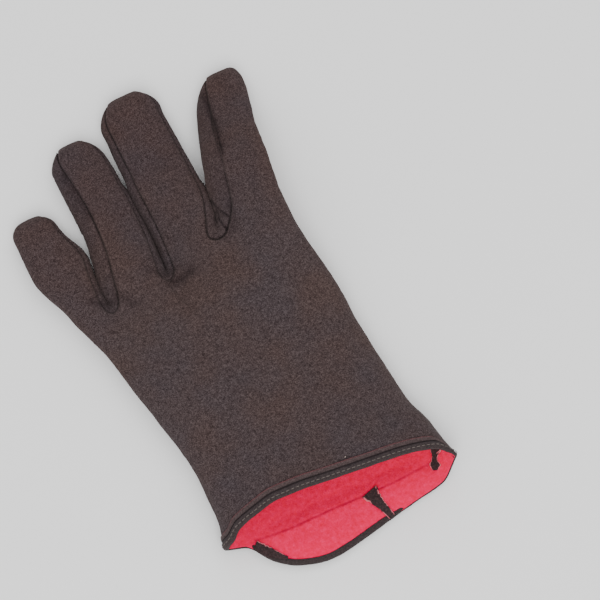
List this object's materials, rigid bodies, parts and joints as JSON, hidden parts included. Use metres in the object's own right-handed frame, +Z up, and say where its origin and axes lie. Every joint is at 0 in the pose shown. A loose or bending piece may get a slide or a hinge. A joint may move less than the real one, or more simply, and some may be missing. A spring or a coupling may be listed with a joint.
{
  "type": "work glove",
  "caption": "Fleece-lined jersey work glove for the left hand, lying on its palm with the thumb underneath and the cuff open.",
  "frame": {"origin": "on the surface that the glove rests on, under the middle of the palm", "axes": "+Y from the cuff to the fingertips, +X towards the thumb side, +Z up, out of the back of the hand"},
  "size_m": [0.1526, 0.2731, 0.0339],
  "materials": {
    "jersey": "matte",
    "fleece": "matte",
    "tape": "matte"
  },
  "bodies": {
    "root": {"back_panel": "jersey", "palm_panel": "jersey", "middle_fingers_front": "jersey", "thumb_front": "jersey", "thumb_back": "jersey", "fourchette_little_ring": "jersey", "fourchette_ring_middle": "jersey", "fourchette_middle_index": "jersey", "hand_lining": "fleece", "cuff_binding": "tape", "palm_seam_allowance": "tape", "thumb_side_allowance": "tape", "little_side_allowance": "tape"}
  },
  "joints": []
}
